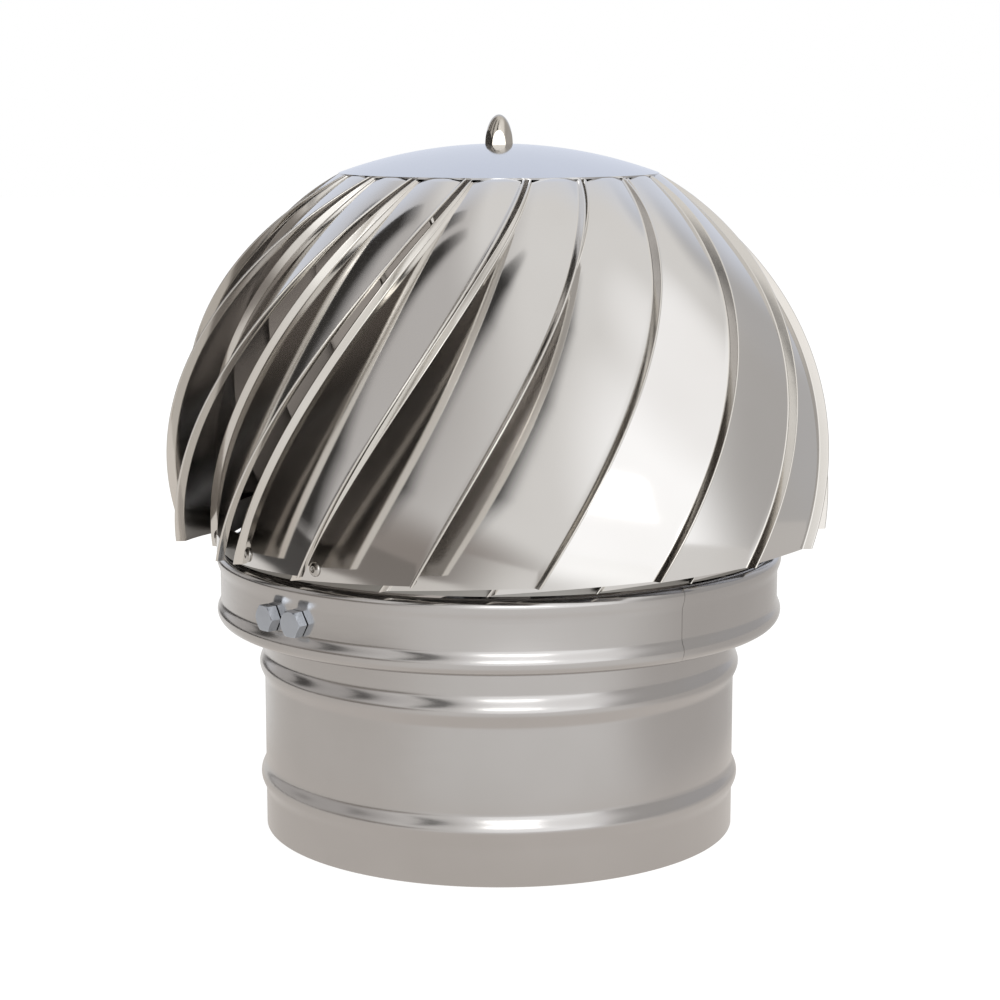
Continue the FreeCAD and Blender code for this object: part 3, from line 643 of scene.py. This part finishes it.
floor_place = floor_tree.nodes.new("ShaderNodeTexCoord")
floor_below = floor_tree.nodes.new("ShaderNodeVectorMath")
floor_below.inputs[1].default_value = (0.0, 0.0, -PATCH_CENTRE_Z)
floor_tree.links.new(floor_place.outputs["Object"], floor_below.inputs[0])
floor_way = floor_below.outputs["Vector"]
floor_grey = floor_tree.nodes.new("ShaderNodeRGB")
floor_grey.outputs["Color"].default_value = (*ROOM_GREY, 1.0)
near_tone = soft_patches(floor_tree, floor_way, floor_grey.outputs["Color"], NEAR_PATCHES)
far_tone = soft_patches(floor_tree, floor_way, near_tone, FAR_PATCHES)
floor_reach = floor_tree.nodes.new("ShaderNodeMapRange")
floor_reach.interpolation_type = "SMOOTHSTEP"
floor_reach.inputs["From Min"].default_value = FAR_START
floor_reach.inputs["From Max"].default_value = FAR_END
floor_tree.links.new(floor_path.outputs["Ray Length"], floor_reach.inputs["Value"])
floor_blend = floor_tree.nodes.new("ShaderNodeMix")
floor_blend.data_type = "RGBA"
floor_tree.links.new(floor_reach.outputs["Result"], floor_blend.inputs["Factor"])
floor_tree.links.new(near_tone, floor_blend.inputs["A"])
floor_tree.links.new(far_tone, floor_blend.inputs["B"])
# What mirrored rays see of the floor is an emission of painted room reflections, not light falling on it.
floor_painted_reflection = floor_tree.nodes.new("ShaderNodeEmission")
floor_tree.links.new(soft_patches(floor_tree, floor_way, floor_blend.outputs["Result"], FOOT_SHADOW_PATCHES),
                     floor_painted_reflection.inputs["Color"])

floor_shader = shown_to("Is Camera Ray", GLOW_SHARE, floor_matt.outputs["BSDF"],
                        floor_glow.outputs["Emission"])
floor_shader = shown_to("Is Glossy Ray", MIRROR_SHARE, floor_shader, floor_painted_reflection.outputs["Emission"])
floor_out = floor_tree.nodes.new("ShaderNodeOutputMaterial")
floor_tree.links.new(floor_shader, floor_out.inputs["Surface"])
floor_mesh.materials.append(floor_paper)


# Dark flags: four tall black strips, hung in a curve on the left, that only mirrored rays see, as painted
# dark reflections in the polished steel. Each is given by its height and its two edges in degrees round the
# axis, station by station, and fades out at its ends and along one edge.
FLAG_R = 0.5
FLAG_COLUMNS = 6
FLAG_FADE_PART = 3
FLAG_BLACK = (0.04, 0.038, 0.036)
FLAGS = (((0.15, 146, 156), (0.25, 146, 160), (0.50, 150, 167), (0.95, 152, 169), (1.60, 158, 171)),
         ((0.10, 162, 175), (0.16, 166, 179), (0.30, 172, 185), (0.60, 174, 189), (1.05, 175, 191),
          (1.90, 184, 194)),
         ((0.14, 198, 205), (0.26, 202, 213), (0.50, 207, 221), (0.80, 212, 230), (1.15, 215, 234),
          (2.20, 230, 240)),
         ((0.14, 229, 238), (0.26, 236, 247), (0.50, 246, 259), (0.80, 254, 270), (1.50, 270, 284)))

flag_points, flag_faces, flag_fade = [], [], []
for flag_strip in FLAGS:
    for level, (flag_z, left, right) in enumerate(flag_strip):
        inside = 0 < level < len(flag_strip) - 1
        for column in range(FLAG_COLUMNS + 1):
            flag_turn = math.radians(left + (right - left) * column / FLAG_COLUMNS)
            if level and column:
                corner = len(flag_points)
                under = corner - FLAG_COLUMNS - 1
                flag_faces.append((under - 1, under, corner, corner - 1))
            flag_points.append((FLAG_R * math.cos(flag_turn), FLAG_R * math.sin(flag_turn), flag_z))
            edge_fade = FLAG_FADE_PART - FLAG_FADE_PART * column / FLAG_COLUMNS
            flag_fade.append(min(1.0, edge_fade) if inside else 0.0)
flag_mesh = bpy.data.meshes.new("dark_flags")
flag_mesh.from_pydata(flag_points, [], flag_faces)
flag_mesh.attributes.new("fade", "FLOAT", "POINT").data.foreach_set("value", flag_fade)
flag = bpy.data.objects.new("dark_flags", flag_mesh)
bpy.context.scene.collection.objects.link(flag)
# The strips' black surface is a painted dark reflection: only glossy rays see it.
flag_painted_reflection = bpy.data.materials.new("black_flag_painted_reflection")
flag_painted_reflection.use_nodes = True
flag_tree = flag_painted_reflection.node_tree
flag_dark_surface = flag_tree.nodes["Principled BSDF"]
flag_dark_surface.inputs["Base Color"].default_value = (*FLAG_BLACK, 1.0)
flag_dark_surface.inputs["Roughness"].default_value = 1.0
flag_dark_surface.inputs["Specular IOR Level"].default_value = 0.0
flag_edge = flag_tree.nodes.new("ShaderNodeAttribute")
flag_edge.attribute_name = "fade"
flag_tree.links.new(flag_edge.outputs["Fac"], flag_dark_surface.inputs["Alpha"])
flag_mesh.materials.append(flag_painted_reflection)
flag.visible_camera = False
flag.visible_diffuse = False
flag.visible_shadow = False


# Surround: the room that lights the cowl and shows in its steel, in soft greys with bright windows in
# front, cool light behind and darker walls at the sides. The camera sees plain white in its place.
ROOM_PATCHES = (((-1.0, 0.25, 0.6), 55, 30, (0.55, 0.53, 0.52), 1.0),
                ((0.35, -1.0, 0.2), 42, 20, (1.25, 1.25, 1.26), 0.8),
                ((0.7, -0.62, 0.85), 30, 10, (1.08, 1.07, 1.07), 1.0),
                ((1.0, 0.03, 0.1), 50, 28, (0.49, 0.475, 0.465), 1.2),
                ((0.75, 0.66, 0.25), 42, 26, (0.50, 0.49, 0.49), 1.0),
                ((0.0, 0.87, 0.5), 55, 22, (0.74, 0.78, 0.88), 1.0),
                ((-0.88, -0.47, -0.14), 42, 15, (0.30, 0.27, 0.25), 3.0))

world = bpy.data.worlds.new("studio_surround")
bpy.context.scene.world = world
world.use_nodes = True
sky = world.node_tree
sky.nodes.clear()
sky_place = sky.nodes.new("ShaderNodeTexCoord")
sky_grey = sky.nodes.new("ShaderNodeRGB")
sky_grey.outputs["Color"].default_value = (*ROOM_GREY, 1.0)
sky_room = sky.nodes.new("ShaderNodeBackground")
sky.links.new(soft_patches(sky, sky_place.outputs["Generated"], sky_grey.outputs["Color"], ROOM_PATCHES),
              sky_room.inputs["Color"])
sky_white = sky.nodes.new("ShaderNodeBackground")
sky_white.inputs["Color"].default_value = (1.0, 1.0, 1.0, 1.0)
sky_path = sky.nodes.new("ShaderNodeLightPath")
sky_mix = sky.nodes.new("ShaderNodeMixShader")
sky.links.new(sky_path.outputs["Is Camera Ray"], sky_mix.inputs["Fac"])
sky.links.new(sky_room.outputs["Background"], sky_mix.inputs[1])
sky.links.new(sky_white.outputs["Background"], sky_mix.inputs[2])
sky_out = sky.nodes.new("ShaderNodeOutputWorld")
sky.links.new(sky_mix.outputs["Shader"], sky_out.inputs["Surface"])


# Lights: two large soft lamps, in front and above, and a small one low in front.
# The steel mirrors only the small one, as the bright lines on the beads.
def soft_light(name, place, target, size, power, colour, mirrored=False):
    """A rectangular soft light that faces a point. Polished steel shows it only where asked."""
    lamp = bpy.data.lights.new(name, "AREA")
    lamp.shape = "RECTANGLE"
    lamp.size, lamp.size_y = size
    lamp.energy = power
    lamp.color = colour
    holder = bpy.data.objects.new(name, lamp)
    holder.location = place
    holder.rotation_euler = (Vector(target) - Vector(place)).to_track_quat("-Z", "Y").to_euler()
    holder.visible_camera = False
    holder.visible_glossy = mirrored
    bpy.context.scene.collection.objects.link(holder)


soft_light("window_light", place=(0.12, -1.75, 0.35), target=(0, 0, 0.16), size=(0.8, 1.3), power=6.5,
           colour=(1.0, 1.0, 1.0))
soft_light("bead_light", place=(0.06, -0.62, 0.30), target=(0, 0, 0.07), size=(0.28, 0.10), power=0.14,
           colour=(1.0, 1.0, 1.0), mirrored=True)
soft_light("top_light", place=(0.2, 0.5, 1.9), target=(0, 0, 0.1), size=(1.6, 1.2), power=9.0,
           colour=(0.95, 0.97, 1.0))


# Camera: straight in front of the cowl, a little above its head and tilted down at it.
# A long lens keeps the round forms calm.
CAMERA_PLACE = (0.0, -1.023, 0.3103)
CAMERA_PITCH = math.radians(90 - 9.57)
CAMERA_LENS = 87.95
CAMERA_SENSOR = 36.0
CAMERA_SHIFT_X = 0.001

camera_data = bpy.data.cameras.new("front_camera")
camera_data.lens = CAMERA_LENS
camera_data.sensor_width = CAMERA_SENSOR
camera_data.shift_x = CAMERA_SHIFT_X
camera = bpy.data.objects.new("front_camera", camera_data)
camera.location = CAMERA_PLACE
camera.rotation_euler = (CAMERA_PITCH, 0.0, 0.0)
bpy.context.scene.collection.objects.link(camera)
bpy.context.scene.camera = camera
bpy.context.scene.view_settings.view_transform = "Standard"
